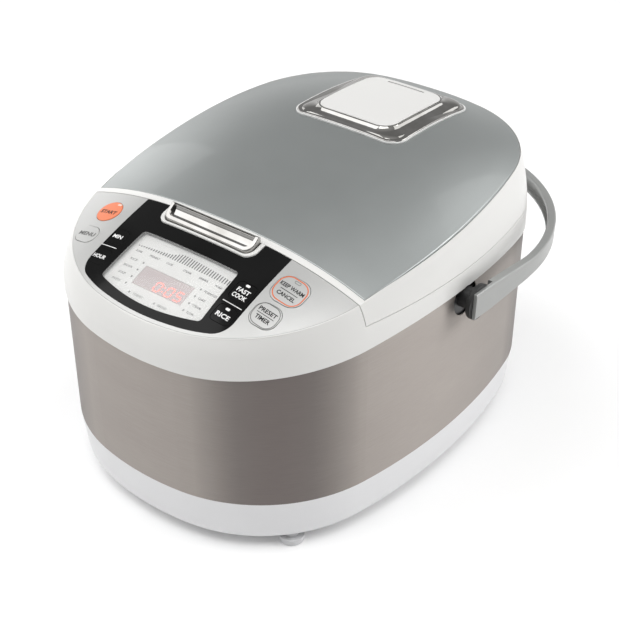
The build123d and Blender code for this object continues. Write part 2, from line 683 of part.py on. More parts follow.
def make_lid_gasket():
    """Silicone ring that seals the inner plate to the pot's rim."""
    ring = tube(RIM_RADIUS + 1.5, 0, POT_Y, 170.9, 178.0) - tube(RIM_RADIUS - 3, 0, POT_Y, 160, 180)
    lip = tube(RIM_RADIUS - 3, 0, POT_Y, 170.9, 174.8) - tube(RIM_RADIUS - 9, 0, POT_Y, 160, 180)
    return ring + lip


def make_catch():
    """Steel catch plate on the lid's front wall."""
    plate = block(-10, 10, DIVISION_Y + 2.7, DIVISION_Y + 3.9, 166, 190)
    plate -= block(-6.5, 6.5, DIVISION_Y, DIVISION_Y + 8, 170, 174.5)
    return plate


def make_hinge_pin():
    """Steel rod through the knuckles."""
    return across(HINGE_PIN, -45.5, 45.5, HINGE_Y, HINGE_Z)


# ---------------------------------------------------------------- pot and heating


def make_pot():
    """Spun aluminium inner pot with a rolled rim."""
    outer = tube(POT_RADIUS, 0, POT_Y, POT_BOTTOM, POT_RIM)
    outer = fillet(outer.edges().group_by(Axis.Z)[0], 22)
    inner = tube(POT_RADIUS - POT_WALL, 0, POT_Y, POT_BOTTOM + POT_WALL, POT_RIM + 10)
    inner = fillet(inner.edges().group_by(Axis.Z)[0], 20)
    rim = tube(RIM_RADIUS, 0, POT_Y, POT_RIM - 1.8, POT_RIM) - tube(POT_RADIUS - 1, 0, POT_Y, 150, 180)
    pot = outer + rim - inner
    return pot


def make_well():
    """Coated steel can that surrounds the pot."""
    can = tube(WELL_RADIUS, 0, POT_Y, 36, DECK_TOP - 3) - tube(WELL_RADIUS - 0.8, 0, POT_Y, 36.8, 180)
    can -= tube(PLATE_RADIUS + 3, 0, POT_Y, 30, 40)
    flange = tube(WELL_RADIUS + 8, 0, POT_Y, DECK_TOP - 4, DECK_TOP - 3) - tube(WELL_RADIUS - 0.8, 0, POT_Y, 150, 180)
    return can + flange


def make_heating_plate():
    """Cast heating plate with a centre hole for the sensor and a groove for the element."""
    plate = tube(PLATE_RADIUS, 0, POT_Y, 42, POT_BOTTOM) - tube(18, 0, POT_Y, 30, 60)
    plate = fillet(plate.edges().group_by(Axis.Z)[-1].sort_by(SortBy.LENGTH)[-1], 1.5)
    rib = tube(78, 0, POT_Y, 38, 42) - tube(60, 0, POT_Y, 30, 45)
    return plate + rib - Pos(0, POT_Y, 37.5) * Torus(69, 4.6)


def make_element():
    """Tubular heating element cast against the plate, with two terminals."""
    ring = Pos(0, POT_Y, 37.5) * Torus(69, 4.5)
    for side in (-1, 1):
        ring += across(2.2, side * 6, side * 10, POT_Y - 69, 37.5)
    return ring


def make_sensor_cap():
    """Spring-loaded temperature sensor that presses on the pot."""
    cap = tube(15.0, 0, POT_Y, 48.6, POT_BOTTOM) + tube(15.0, 0, POT_Y, 44, 49) - tube(13.8, 0, POT_Y, 40, 48.6)
    return cap + tube(3.0, 0, POT_Y, 36, 48.7)


def make_sensor_housing():
    """Guide cup of the sensor, fixed to the base floor."""
    cup = tube(12.6, 0, POT_Y, BASE_BOTTOM + 3, 36) - tube(11.0, 0, POT_Y, 24, 50)
    return cup - tube(3.6, 0, POT_Y, 18, 40)


def make_side_heater():
    """Keep-warm band heater round the well."""
    ring = tube(WELL_RADIUS + 1.6, 0, POT_Y, 92, 122) - tube(WELL_RADIUS, 0, POT_Y, 80, 130)
    return ring - block(-6, 6, POT_Y - 130, POT_Y - 90, 80, 130)


def make_fuse():
    """Thermal fuse clipped beside the sensor."""
    return Pos(34, POT_Y, 39.5) * Rot(90, 0, 0) * Cylinder(2.5, 16) + block(31, 37, POT_Y - 5, POT_Y + 5, 37, 42)


def make_power_board():
    """Power board standing on the base floor under the panel."""
    plate = block(-62, 62, -165, -108, 16, 17.6)
    posts = [tube(3.0, x, y, BASE_BOTTOM + 3, 16) for x in (-56, 56) for y in (-159, -132)]
    return plate + posts


def make_board_parts():
    """Relay, capacitor, connector and transformer on the power board."""
    relay = block(2, 22, -150, -134, 17.6, 33)
    capacitor = tube(8, 40, -146, 17.6, 42)
    connector = block(-6, 24, -122, -114, 17.6, 27)
    core = block(-52, -16, -156, -122, 17.6, 45)
    transformer = core + block(-48, -20, -160, -118, 21, 41)
    return Compound([relay, capacitor, connector, transformer])


# ---------------------------------------------------------------- underside and rear


def make_foot(x, y):
    """Rubber foot with a stub that plugs into the floor."""
    pad = fillet((tube(9.0, x, y, 0, BASE_BOTTOM)).edges().group_by(Axis.Z)[0], 1.2)
    return pad + tube(5.0, x, y, BASE_BOTTOM, BASE_BOTTOM + 4.5)


def make_base_screws():
    """Four screws up into the base shell's pillars."""
    screws = [tube(3.6, x, y, 6.8, 9) + tube(1.6, x, y, 9, 20) for x, y in SCREWS]
    return Compound(screws)


def make_inlet():
    """Appliance inlet housing, open to the rear."""
    body = block(INLET_X - 13.8, INLET_X + 13.8, 118, 143, INLET_Z - 9.8, INLET_Z + 9.8)
    cavity = block(INLET_X - 11.5, INLET_X + 11.5, 123, 160, INLET_Z - 7.5, INLET_Z + 7.5)
    return body - cavity


def make_inlet_pins():
    """Three flat contacts inside the inlet."""
    pins = []
    for dx, dz in ((-7, -1.5), (7, -1.5), (0, 2.5)):
        pins.append(block(INLET_X + dx - 1, INLET_X + dx + 1, 112, 137, INLET_Z + dz - 2, INLET_Z + dz + 2))
    return Compound(pins)


def make_cup_bracket():
    """Rear bracket with two rails for the condensation cup."""
    back = block(-34, 34, 149.5, 156, CUP_TOP - 30, CUP_TOP + 4) & (block(-40, 40, 100, 160, 50, 160) - slab(1.0, 50, 160))
    tabs = block(-21, 21, 140, 155, CUP_TOP - 13.6, CUP_TOP - 8.4)
    rails = [block(sx * 32 - 2, sx * 32 + 2, 154, 168, CUP_TOP + 0.4, CUP_TOP + 4) for sx in (-1, 1)]
    shelf = block(-34, 34, 153, 168, CUP_TOP + 2.0, CUP_TOP + 4)
    return back + tabs + rails + shelf


def make_cup():
    """Clear condensation cup that slides out to the rear."""
    body = block(-30, 30, 156.3, 178, CUP_TOP - 32, CUP_TOP)
    body = fillet(body.edges().filter_by(Axis.Z), 5)
    hollow = block(-28, 28, 158.3, 176, CUP_TOP - 30, CUP_TOP + 5)
    hollow = fillet(hollow.edges().filter_by(Axis.Z), 3.4)
    return body - hollow


# ---------------------------------------------------------------- carry handle


HANDLE = Pos(0, PIVOT_Y, PIVOT_Z) * Rot(-HANDLE_DROOP, 0, 0)


def loop(inset):
    """Plan of the handle's outer edge moved inward: straight arms and an elliptical rear."""
    half = ARM_OUTER - inset
    ellipse = Pos(0, HANDLE_STRAIGHT) * Ellipse(half, HANDLE_REACH - HANDLE_STRAIGHT - inset)
    arms = Pos(0, (HANDLE_STRAIGHT - 8.5) / 2) * Rectangle(2 * half, HANDLE_STRAIGHT + 8.5)
    rear = ellipse & Pos(0, HANDLE_STRAIGHT + 200) * Rectangle(400, 400)
    return arms + rear


def make_handle():
    """Carry handle: a channel-section loop, deeper at the pivots than at the grip."""
    outer = extrude(loop(0), amount=HANDLE_TALL / 2, both=True)
    inner = extrude(loop(ARM_THICK), amount=HANDLE_TALL, both=True)
    inner += Pos(0, -20, 0) * Box(2 * (ARM_OUTER - ARM_THICK), 60, 60)
    band = outer - inner
    side = Plane(origin=(0, 0, 0), x_dir=(0, 1, 0), z_dir=(1, 0, 0))
    tall, low = HANDLE_TALL / 2, HANDLE_LOW / 2
    shape = Polyline((-20, -tall), (14, -tall), (70, -low), (230, -low), (230, low), (70, low), (14, tall), (-20, tall), (-20, -tall))
    band = band & extrude(side * Face(Wire(shape.edges())), amount=200, both=True)
    rims = [e for e in band.edges() if abs(e.center().Z) > low - 0.1 and e.length > ARM_THICK + 0.5]
    band = fillet(rims, 1.1)
    channel = extrude(loop(3.2) - loop(ARM_THICK + 5), amount=low - 2.4, both=True)
    channel = channel & Pos(0, 130, 0) * Box(400, 220, 60)
    band -= channel
    for sx in (-1, 1):
        band -= block(sx * 140, sx * HUB_FACE, -20, 15, -30, 30)
        band -= across(PIN_RADIUS + RUNNING, sx * 140, sx * 151.8, 0, 0)
    return HANDLE * band


HUB_FACE = 150.8
HUB_RADIUS = 13.2


def make_handle_hubs():
    """Dark round hubs inside the ends of the handle's arms."""
    hubs = []
    for sx in (-1, 1):
        hub = across(HUB_RADIUS, sx * 147.0, sx * HUB_FACE, 0, 0)
        rim = [e for e in hub.edges() if abs(abs(e.center().X) - 147.0) < 0.1]
        hub = fillet(rim, 1.2)
        hubs.append(HANDLE * (hub - across(PIN_RADIUS + RUNNING, sx * 140, sx * 152, 0, 0)))
    return Compound(hubs)


def make_pivot_bosses():
    """Dark round pivot bosses fixed in the body's sides."""
    bosses = []
    for sx in (-1, 1):
        boss = across(7.9, sx * 128.0, sx * 146.6, PIVOT_Y, PIVOT_Z)
        bosses.append(boss - across(PIN_RADIUS, sx * 127, sx * 150, PIVOT_Y, PIVOT_Z))
    return Compound(bosses)


def make_pivot_pins():
    """Two shouldered steel pins that the handle turns on."""
    return Compound([across(PIN_RADIUS, sx * 129.0, sx * 151.6, PIVOT_Y, PIVOT_Z) for sx in (-1, 1)])


# ---------------------------------------------------------------- assembly


def main():
    """Build and write every sub-part."""
    panel_form = upper_form(PANEL_LEVEL, PANEL_SLOPE, PANEL_LEAN, 0)
    lid_form = upper_form(LID_LEVEL, LID_SLOPE, LID_LEAN, 0)
    holes = key_holes(GAP)
    bezel_hole = latch_region(0) & FRONT_HALF
    insert_hole = insert_region(0)
    fascia = make_fascia(insert_hole) - holes
    save(fascia + [p for p in make_board_posts() if p is not None], "fascia")
    save(make_insert(window_region(0), bezel_hole, holes), "panel_insert")
    window = window_region(-0.15) & FRONT_HALF & below_dome(0) & above_dome(-FASCIA_THICK)
    save(window, "display_window")
    save(make_display_tray(), "display_tray")
    save(make_digit_module(), "digit_module")
    save(make_board(), "control_board")
    save(make_board_screws(), "board_screws")
    save(make_switches(), "tact_switches")
    for name in KEYS:
        save(make_key(name), name)
    save(make_latch_bezel(), "latch_bezel")
    save(make_latch_button(), "latch_button")
    save(make_latch_hook(), "latch_hook")
    save(make_latch_frame(), "latch_frame")
    save(across(2.0, -15, 15, LATCH_PIVOT_Y, LATCH_PIVOT_Z), "latch_pin")
    save(make_collar(panel_form, lid_form), "collar")
    save(make_base_shell(), "base_shell")
    save(make_steel_band(), "steel_band")
    save(make_band_liner(), "band_liner")
    save(make_lid_ring(lid_form), "lid_ring")
    save(make_lid_cover(), "lid_cover")
    save(make_lid_floor(), "lid_floor")
    save(make_vent_socket(), "vent_socket")
    save(make_vent_surround(), "vent_surround")
    save(make_vent_cap(), "vent_cap")
    save(make_vent_body(), "vent_body")
    save(make_vent_gasket(), "vent_gasket")
    save(make_steam_seal(), "steam_seal")
    save(make_inner_plate(), "inner_plate")
    save(make_plate_knob(), "plate_knob")
    save(make_lid_gasket(), "lid_gasket")
    save(make_catch(), "lid_catch")
    save(make_hinge_pin(), "hinge_pin")
    save(make_pot(), "inner_pot")
    save(make_well(), "pot_well")
    save(make_heating_plate(), "heating_plate")
    save(make_element(), "heating_element")
    save(make_sensor_cap(), "sensor_cap")
    save(make_sensor_housing(), "sensor_housing")
    save(make_coil(7.5, 0.6, 20, 6, 0, POT_Y, 24), "sensor_spring")
    save(make_side_heater(), "side_heater")
    save(make_fuse(), "thermal_fuse")
    save(make_power_board(), "power_board")
    save(make_board_parts(), "board_parts")
    save(Compound([make_foot(x, y) for x, y in FEET]), "feet")
    save(make_base_screws(), "base_screws")
    save(make_inlet() - make_inlet_pins(), "inlet_socket")
    save(make_inlet_pins(), "inlet_pins")
    save(make_cup_bracket(), "cup_bracket")
    save(make_cup(), "condensation_cup")
    save(make_handle(), "handle")
    save(make_handle_hubs(), "handle_hubs")
    save(make_pivot_bosses(), "pivot_bosses")
    save(make_pivot_pins(), "pivot_pins")


main()
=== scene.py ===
import math

import bmesh
import bpy
from mathutils import Matrix, Vector


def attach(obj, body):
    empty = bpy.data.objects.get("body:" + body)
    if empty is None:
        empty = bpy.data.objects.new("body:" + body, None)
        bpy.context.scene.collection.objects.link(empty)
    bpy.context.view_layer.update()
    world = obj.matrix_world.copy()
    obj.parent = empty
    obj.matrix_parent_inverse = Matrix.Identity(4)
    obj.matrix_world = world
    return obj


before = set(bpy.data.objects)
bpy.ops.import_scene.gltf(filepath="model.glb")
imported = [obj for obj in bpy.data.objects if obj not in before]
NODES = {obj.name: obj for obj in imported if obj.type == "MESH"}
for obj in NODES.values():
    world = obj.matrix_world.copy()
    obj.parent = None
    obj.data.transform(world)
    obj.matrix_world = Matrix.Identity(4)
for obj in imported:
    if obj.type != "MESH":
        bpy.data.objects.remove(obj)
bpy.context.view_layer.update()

# ------------------------------------------------------------------ shared geometry (metres)

MM = 0.001
RIM_Z, RIM_SLOPE, RIM_BEND, RIM_Y = 198.6, 0.13, 1.93e-4, -20.8
DOME_RISE, DOME_POWER, DOME_A, DOME_B, DOME_Y = 20.0, 2.6, 131.0, 168.5, -25.0


def dome_z(x, y):
    """Height in mm of the domed top over (x, y) in mm."""
    rim_y = y - RIM_Y
    rim = RIM_Z + RIM_SLOPE * rim_y - RIM_BEND * rim_y**2
    return rim + DOME_RISE * (1 - abs(x / DOME_A) ** DOME_POWER - abs((y - DOME_Y) / DOME_B) ** DOME_POWER)


# ------------------------------------------------------------------ materials


class Maker:
    """One node-based material under construction."""

    def __init__(self, name):
        self.mat = bpy.data.materials.new(name)
        self.mat.use_nodes = True
        self.tree = self.mat.node_tree
        self.shader = self.tree.nodes["Principled BSDF"]

    def set(self, **values):
        names = {
            "metallic": "Metallic", "roughness": "Roughness", "ior": "IOR", "alpha": "Alpha",
            "coat": "Coat Weight", "coat_roughness": "Coat Roughness", "specular": "Specular IOR Level",
            "anisotropic": "Anisotropic", "turn": "Anisotropic Rotation", "sheen": "Sheen Weight",
            "emission": "Emission Color", "glow": "Emission Strength",
        }
        for key, value in values.items():
            if key == "emission":
                value = (*value, 1.0)
            self.shader.inputs[names[key]].default_value = value
        return self

    def node(self, kind, **inputs):
        made = self.tree.nodes.new(kind)
        for key, value in inputs.items():
            made.inputs[key.replace("_", " ")].default_value = value
        return made

    def link(self, a, b):
        self.tree.links.new(a, b)

    def coords(self, scale=(1, 1, 1)):
        place = self.node("ShaderNodeTexCoord")
        mapping = self.node("ShaderNodeMapping")
        mapping.inputs["Scale"].default_value = scale
        self.link(place.outputs["Object"], mapping.inputs["Vector"])
        return mapping.outputs["Vector"]

    def noise(self, size, detail=3.0, rough=0.5, stretch=(1, 1, 1)):
        """Noise with features about `size` metres across."""
        made = self.node("ShaderNodeTexNoise", Scale=1.0 / size, Detail=detail, Roughness=rough)
        self.link(self.coords(stretch), made.inputs["Vector"])
        return made.outputs["Fac"]

    def calc(self, operation, a, b=None):
        """Math node on a linked value and a value or number."""
        made = self.node("ShaderNodeMath")
        made.operation = operation
        self.link(a, made.inputs[0])
        if isinstance(b, float):
            made.inputs[1].default_value = b
        elif b is not None:
            self.link(b, made.inputs[1])
        return made.outputs[0]

    def ramp(self, source, stops):
        made = self.node("ShaderNodeValToRGB")
        ramp = made.color_ramp
        while len(ramp.elements) < len(stops):
            ramp.elements.new(0.5)
        for element, (place, value) in zip(ramp.elements, stops):
            element.position = place
            element.color = (*value, 1.0) if isinstance(value, tuple) else (value, value, value, 1.0)
        self.link(source, made.inputs["Fac"])
        return made.outputs["Color"]

    def tint(self, source, low, high, span=(0.35, 0.65)):
        """Base colour that wanders between two colours."""
        self.link(self.ramp(source, [(span[0], low), (span[1], high)]), self.shader.inputs["Base Color"])
        return self

    def gloss(self, source, low, high, span=(0.3, 0.7)):
        """Roughness that wanders between two values."""
        self.link(self.ramp(source, [(span[0], low), (span[1], high)]), self.shader.inputs["Roughness"])
        return self

    def bump(self, source, depth, strength=1.0):
        made = self.node("ShaderNodeBump", Strength=strength, Distance=depth)
        self.link(source, made.inputs["Height"])
        self.link(made.outputs["Normal"], self.shader.inputs["Normal"])
        return self


def shade(colour, factor):
    return tuple(min(1.0, c * factor) for c in colour)


def moulded(name, colour, roughness=0.32, grain=0.00035, depth=4e-6, coat=0.15):
    """Injection-moulded plastic: faint flow variation, fine grain, slight wear of the gloss."""
    m = Maker(name).set(coat=coat, coat_roughness=0.12)
    m.tint(m.noise(0.08, 1.0), shade(colour, 0.985), shade(colour, 1.008))
    m.gloss(m.noise(0.04, 1.0), max(0.05, roughness - 0.015), roughness + 0.02)
    m.bump(m.noise(grain, 2.0), depth, 0.35)
    return m.mat


def metallic_paint(name, colour, metallic, roughness, coat=0.5):
    """Lacquer with fine metal flakes under a clear coat."""
    m = Maker(name).set(metallic=metallic, coat=coat, coat_roughness=0.06)
    flakes = m.node("ShaderNodeTexVoronoi", Scale=2600.0)
    m.link(m.coords(), flakes.inputs["Vector"])
    spread = m.node("ShaderNodeMix", Factor=0.22)
    spread.data_type = "FLOAT"
    m.link(flakes.outputs["Color"], spread.inputs[3])
    m.link(m.noise(0.09, 2.0), spread.inputs[2])
    m.tint(spread.outputs[0], shade(colour, 0.97), shade(colour, 1.025), (0.3, 0.7))
    m.gloss(m.noise(0.02, 3.0), roughness - 0.01, roughness + 0.02)
    m.bump(flakes.outputs["Distance"], 2e-5, 0.05)
    return m.mat


def painted_corner_shade(m):
    """Mask for painted shade on the steel wall: about 0 on the body's long axes, rising toward 0.5 where
    the wall turns its corners.
    """
    split = m.node("ShaderNodeSeparateXYZ")
    m.link(m.coords(), split.inputs[0])
    across = m.calc("ABSOLUTE", m.calc("DIVIDE", split.outputs["X"], 0.140))
    along = m.calc("ABSOLUTE", m.calc("DIVIDE", m.calc("ADD", split.outputs["Y"], 0.025), 0.1765))
    return m.calc("MULTIPLY", across, m.calc("POWER", along, 1.5))


def brushed_steel():
    """Stainless wrap brushed round the body: fine level streaks in tone, gloss and relief, with painted
    shade darkening the tone where the wall turns its corners.
    """
    m = Maker("brushed_steel").set(metallic=1.0, anisotropic=0.85, turn=0.25)
    fine = m.noise(0.0022, 5.0, 0.65, (0.16, 0.16, 9.0))
    broad = m.noise(0.05, 3.0, 0.5, (0.5, 0.5, 1.6))
    both = m.node("ShaderNodeMix", Factor=0.3)
    both.data_type = "FLOAT"
    m.link(fine, both.inputs[2])
    m.link(broad, both.inputs[3])
    tone = m.ramp(both.outputs[0], [(0.3, (0.345, 0.312, 0.290)), (0.7, (0.420, 0.385, 0.358))])
    painted_shade_mix = m.node("ShaderNodeMix", Factor=1.0)
    painted_shade_mix.data_type = "RGBA"
    painted_shade_mix.blend_type = "MULTIPLY"
    m.link(tone, painted_shade_mix.inputs[6])
    # painted shade: the steel colour is multiplied darker toward the body's corners by position, standing
    # in for the dark surroundings reflected there
    painted_shade_stops = [
        (0.33, (1.0, 1.0, 1.0)),
        (0.40, (0.82, 0.82, 0.82)),
        (0.47, (0.58, 0.57, 0.58)),
        (0.505, (0.53, 0.51, 0.52)),
    ]
    m.link(m.ramp(painted_corner_shade(m), painted_shade_stops), painted_shade_mix.inputs[7])
    m.link(painted_shade_mix.outputs[2], m.shader.inputs["Base Color"])
    m.gloss(both.outputs[0], 0.40, 0.48)
    m.bump(fine, 1.2e-5, 0.25)
    round_body = m.node("ShaderNodeTangent")
    round_body.direction_type = "RADIAL"
    round_body.axis = "Z"
    m.link(round_body.outputs["Tangent"], m.shader.inputs["Tangent"])
    return m.mat


def plain_metal(name, colour, roughness, size=0.002, depth=6e-6):
    """Bare or plated metal with small tone changes, handling marks and soft scratches."""
    m = Maker(name).set(metallic=1.0)
    m.tint(m.noise(size * 6, 4.0), shade(colour, 0.9), shade(colour, 1.05))
    m.gloss(m.noise(size, 5.0, 0.65), max(0.02, roughness - 0.06), roughness + 0.08)
    m.bump(m.noise(size / 3, 3.0), depth, 0.5)
    return m.mat


def chrome():
    m = Maker("chrome").set(metallic=1.0)
    m.tint(m.noise(0.02), (0.36, 0.352, 0.335), (0.46, 0.452, 0.44))
    m.gloss(m.noise(0.006, 5.0), 0.025, 0.07)
    m.bump(m.noise(0.012, 2.0), 2e-5, 0.12)
    return m.mat


def gloss_black():
    m = Maker("gloss_black").set(coat=0.05, coat_roughness=0.03, specular=0.12)
    m.tint(m.noise(0.05), (0.004, 0.004, 0.004), (0.008, 0.008, 0.008))
    m.gloss(m.noise(0.014, 5.0, 0.6), 0.06, 0.16)
    m.bump(m.noise(0.03, 2.0), 3e-5, 0.15)
    return m.mat


def rubber(name, colour, roughness=0.6):
    m = Maker(name).set(sheen=0.1, specular=0.35)
    m.tint(m.noise(0.01, 4.0), shade(colour, 0.92), shade(colour, 1.05))
    m.gloss(m.noise(0.004, 4.0), roughness - 0.08, roughness + 0.1)
    m.bump(m.noise(0.0004, 3.0), 1.2e-5, 0.7)
    return m.mat


def clear_plastic(name, colour, alpha):
    m = Maker(name).set(alpha=alpha, roughness=0.04, ior=1.49, specular=0.9)
    m.tint(m.noise(0.03), shade(colour, 0.98), colour)
    m.gloss(m.noise(0.01, 4.0), 0.03, 0.08)
    m.mat.surface_render_method = "BLENDED"
    return m.mat


def pot_coating():
    """Non-stick coating: dark speckled base with fine grain."""
    m = Maker("pot_coating").set(metallic=0.25, coat=0.2, coat_roughness=0.25)
    speck = m.node("ShaderNodeTexVoronoi", Scale=900.0)
    m.link(m.coords(), speck.inputs["Vector"])
    m.tint(speck.outputs["Distance"], (0.16, 0.16, 0.165), (0.055, 0.055, 0.06), (0.04, 0.22))
    m.gloss(m.noise(0.01, 4.0), 0.32, 0.48)
    m.bump(m.noise(0.0006, 3.0), 1.5e-5, 0.6)
    return m.mat


def circuit_board():
    """Green solder resist with traces showing through."""
    m = Maker("circuit_board").set(coat=0.3)
    cells = m.node("ShaderNodeTexVoronoi", Scale=260.0)
    cells.distance = "CHEBYCHEV"
    cells.feature = "DISTANCE_TO_EDGE"
    m.link(m.coords(), cells.inputs["Vector"])
    m.tint(cells.outputs["Distance"], (0.05, 0.26, 0.10), (0.015, 0.13, 0.05), (0.04, 0.10))
    m.gloss(m.noise(0.01), 0.25, 0.4)
    m.bump(cells.outputs["Distance"], 2e-5, 0.4)
    return m.mat


MATS = {
    "white": moulded("white_plastic", (0.775, 0.77, 0.75), 0.32),
    "vent_white": moulded("vent_white", (0.70, 0.695, 0.68), 0.42, coat=0.05),
    "base_white": moulded("base_white", (0.79, 0.79, 0.80), 0.42, grain=0.0012, depth=2e-6, coat=0.0),
    "lid": metallic_paint("silver_lid", (0.368, 0.388, 0.384), 0.75, 0.37, 0.30),
    "silver": metallic_paint("silver_paint", (0.53, 0.53, 0.52), 0.55, 0.36, 0.3),
    "steel": brushed_steel(),
    "chrome": chrome(),
    "black": gloss_black(),
    "handle": metallic_paint("handle_grey", (0.37, 0.375, 0.367), 0.45, 0.38, 0.15),
    "boss": moulded("boss_grey", (0.014, 0.014, 0.014), 0.5, coat=0.0),
    "dark": moulded("dark_plastic", (0.035, 0.035, 0.037), 0.45),
    "grey": moulded("grey_plastic", (0.50, 0.505, 0.505), 0.42),
    "card": moulded("white_card", (0.80, 0.80, 0.785), 0.5, coat=0.0),
    "digit": moulded("digit_block", (0.52, 0.44, 0.44), 0.25),
    "orange": moulded("orange_plastic", (0.80, 0.20, 0.075), 0.34),
    "board": circuit_board(),
    "zinc": plain_metal("zinc_steel", (0.56, 0.56, 0.54), 0.35),
    "aluminium": plain_metal("aluminium", (0.70, 0.70, 0.69), 0.34, 0.0006, 3e-6),
    "cast": plain_metal("cast_aluminium", (0.55, 0.55, 0.54), 0.5, 0.003, 2e-5),
    "well": plain_metal("well_steel", (0.50, 0.50, 0.49), 0.42),
    "element": plain_metal("element_steel", (0.30, 0.28, 0.26), 0.5),
    "brass": plain_metal("brass", (0.70, 0.52, 0.26), 0.28),
    "mica": moulded("heater_mica", (0.52, 0.42, 0.27), 0.6, coat=0.0),
    "ceramic": moulded("white_ceramic", (0.78, 0.76, 0.71), 0.55, coat=0.0),
    "white_rubber": rubber("white_rubber", (0.74, 0.74, 0.73), 0.5),
    "grey_rubber": rubber("grey_rubber", (0.66, 0.66, 0.67)),
    "window": clear_plastic("clear_window", (0.90, 0.90, 0.89), 0.16),
    "cup": clear_plastic("clear_plastic", (0.80, 0.84, 0.86), 0.35),
    "pot": pot_coating(),
}

LOOKS = {
    "white": "collar lid_ring latch_bezel cup_bracket",
    "vent_white": "vent_cap",
    "base_white": "base_shell",
    "lid": "lid_cover",
    "silver": "fascia key_menu key_cancel key_timer",
    "steel": "steel_band",
    "chrome": "latch_button vent_surround",
    "black": "panel_insert key_minute key_hour key_quick key_rice",
    "handle": "handle",
    "boss": "pivot_bosses handle_hubs",
    "dark": "band_liner tact_switches latch_hook latch_frame sensor_housing board_parts inlet_socket",
    "grey": "lid_floor vent_socket vent_body plate_knob",
    "card": "display_tray",
    "digit": "digit_module",
    "orange": "key_start",
    "board": "control_board power_board",
    "zinc": "board_screws latch_pin lid_catch hinge_pin sensor_spring base_screws pivot_pins",
    "aluminium": "inner_plate sensor_cap",
    "cast": "heating_plate",
    "well": "pot_well",
    "element": "heating_element",
    "brass": "inlet_pins",
    "mica": "side_heater",
    "ceramic": "thermal_fuse",
    "white_rubber": "vent_gasket steam_seal lid_gasket",
    "grey_rubber": "feet",
    "window": "display_window",
    "cup": "condensation_cup",
    "pot": "inner_pot",
}
for look, names in LOOKS.items():
    for name in names.split():
        for place in NODES[name].material_slots:
            place.material = MATS[look]

# ------------------------------------------------------------------ printing on the panel


def ink(name, colour, roughness=0.45):
    """Screen-printed ink, slightly uneven."""
    m = Maker(name).set(specular=0.3)
    m.tint(m.noise(0.0012, 3.0), shade(colour, 0.9), shade(colour, 1.08))
    m.gloss(m.noise(0.003), roughness - 0.08, roughness + 0.1)
    m.bump(m.noise(0.0003), 4e-6, 0.5)
    return m.mat


INK_DARK = ink("ink_dark", (0.02, 0.02, 0.02), 0.6)
INK_WHITE = ink("ink_white", (0.86, 0.86, 0.85))
INK_ORANGE = ink("ink_orange", (0.72, 0.17, 0.07))
INK_GREY = ink("ink_grey", (0.13, 0.13, 0.127))
INK_PALE = ink("ink_pale", (0.24, 0.24, 0.235))
INK_LENS = ink("ink_lens", (0.90, 0.62, 0.50), 0.2)
FASCIA_THICK = 2.3
TRAY_DROP = -FASCIA_THICK - 0.8
DIGIT_DROP = -FASCIA_THICK - 0.9


def glow_mat():
    m = Maker("digit_glow").set(emission=(1.0, 0.16, 0.12), glow=1.3, roughness=0.4)
    m.tint(m.noise(0.001), (0.85, 0.12, 0.10), (0.95, 0.20, 0.16))
    return m.mat


GLOW = glow_mat()


def laid(name, polygons, mat, lift, body):
    """Flat shapes in plan (mm), laid on the dome `lift` mm above it."""
    mesh = bpy.data.meshes.new(name)
    made = bmesh.new()
    for shape in polygons:
        verts = [made.verts.new((x, y, 0)) for x, y in shape]
        made.faces.new(verts)
    made.normal_update()
    for face in made.faces:
        if face.normal.z < 0:
            face.normal_flip()
    for vert in made.verts:
        x, y = vert.co.x, vert.co.y
        vert.co = Vector((x, y, dome_z(x, y) + lift)) * MM
    made.to_mesh(mesh)
    made.free()
    mesh.materials.append(mat)
    piece = bpy.data.objects.new(name, mesh)
    bpy.context.scene.collection.objects.link(piece)
    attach(piece, body)
    return piece


def lettering(name, text, x, y, width, height, mat, lift, body):
    """A word laid on the dome, centred on (x, y) and fitted to width and height in mm."""
    curve = bpy.data.curves.new(name, "FONT")
    curve.body = text
    curve.align_x = "CENTER"
    curve.align_y = "CENTER"
    curve.offset = 0.028
    curve.resolution_u = 3
    holder = bpy.data.objects.new(name + "_curve", curve)
    mesh = bpy.data.meshes.new_from_object(holder)
    bpy.data.objects.remove(holder)
    xs = [v.co.x for v in mesh.vertices]
    ys = [v.co.y for v in mesh.vertices]
    sx = width / (max(xs) - min(xs))
    sy = height / (max(ys) - min(ys))
    cx, cy = (max(xs) + min(xs)) / 2, (max(ys) + min(ys)) / 2
    for vert in mesh.vertices:
        px = x + (vert.co.x - cx) * sx
        py = y + (vert.co.y - cy) * sy
        vert.co = Vector((px, py, dome_z(px, py) + lift)) * MM
    mesh.materials.append(mat)
    piece = bpy.data.objects.new(name, mesh)
    bpy.context.scene.collection.objects.link(piece)
    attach(piece, body)
    return piece


def strip(x0, y0, x1, y1, width, parts=12):
    """Quads along a straight line of the given width."""
    run = Vector((x1 - x0, y1 - y0))
    side = Vector((-run.y, run.x)).normalized() * width / 2
    quads = []
    for i in range(parts):
        a = Vector((x0, y0)) + run * i / parts
        b = Vector((x0, y0)) + run * (i + 1) / parts
        quads.append([a - side, b - side, b + side, a + side])
    return quads


def rounded(x, y, w, d, r, steps=8):
    """Points round a rounded rectangle."""
    points = []
    dx, dy = w / 2 - r, d / 2 - r
    for cx, cy, start in ((dx, dy, 0), (-dx, dy, 90), (-dx, -dy, 180), (dx, -dy, 270)):
        for i in range(steps + 1):
            turn = math.radians(start + 90 * i / steps)
            points.append((x + cx + r * math.cos(turn), y + cy + r * math.sin(turn)))
    return points


def ring(x, y, w, d, r, width):
    """Quads of a rounded-rectangle ring."""
    outer = rounded(x, y, w, d, r)
    inner = rounded(x, y, w - 2 * width, d - 2 * width, r - width)
    count = len(outer)
    return [[outer[i], outer[(i + 1) % count], inner[(i + 1) % count], inner[i]] for i in range(count)]


# heights of the prints above the dome, in mm: on raised keys, on flush keys and on the insert
KEY_TOP = 0.4 + 0.06
FLUSH_TOP = 0.1 + 0.06
FLAT = 0.1 + 0.05

